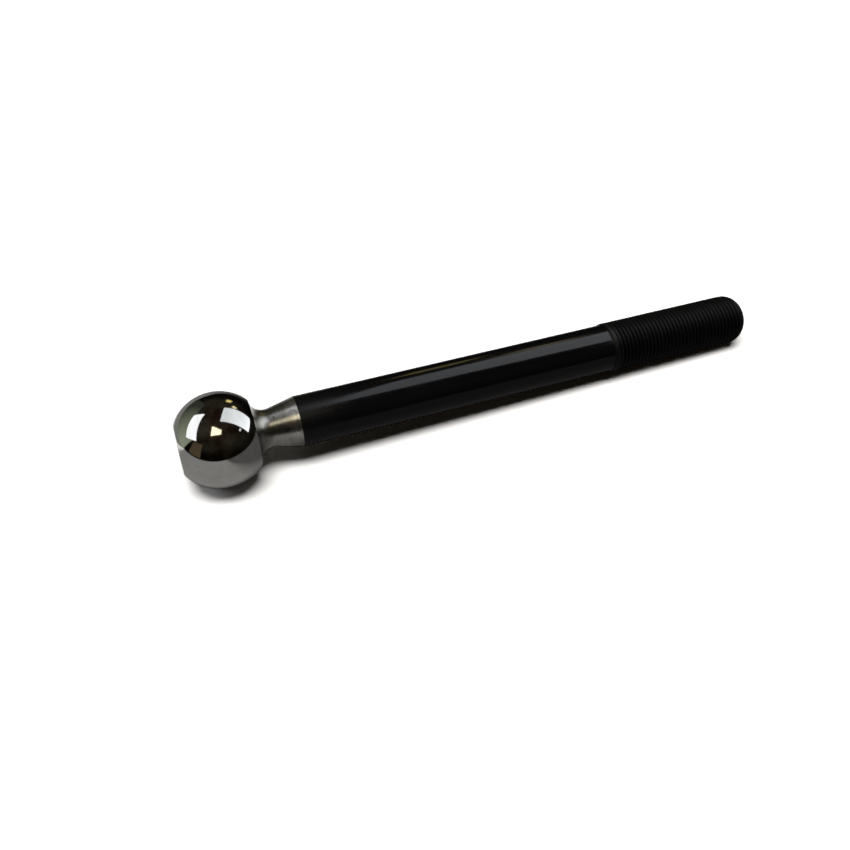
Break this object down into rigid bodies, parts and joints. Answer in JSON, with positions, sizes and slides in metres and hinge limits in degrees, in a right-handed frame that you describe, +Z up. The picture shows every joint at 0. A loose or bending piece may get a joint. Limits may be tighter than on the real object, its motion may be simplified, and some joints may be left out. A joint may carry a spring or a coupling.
{
  "type": "ball stud",
  "caption": "Ball stud with a polished ball, a bare tapered neck, a long black shank and a fine male thread with a rounded point.",
  "frame": {"origin": "centre of the ball", "axes": "+X along the stud from the ball to the threaded tip, +Z up; the stud is round about X"},
  "size_m": [0.2111, 0.032, 0.032],
  "materials": {
    "polished_steel": "mirror polished",
    "turned_steel": "fine turned",
    "black_finish": "gloss on the shank, duller on the thread"
  },
  "bodies": {
    "root": {"ball": "polished_steel", "neck": "turned_steel", "threaded_shank": "black_finish"}
  },
  "joints": []
}
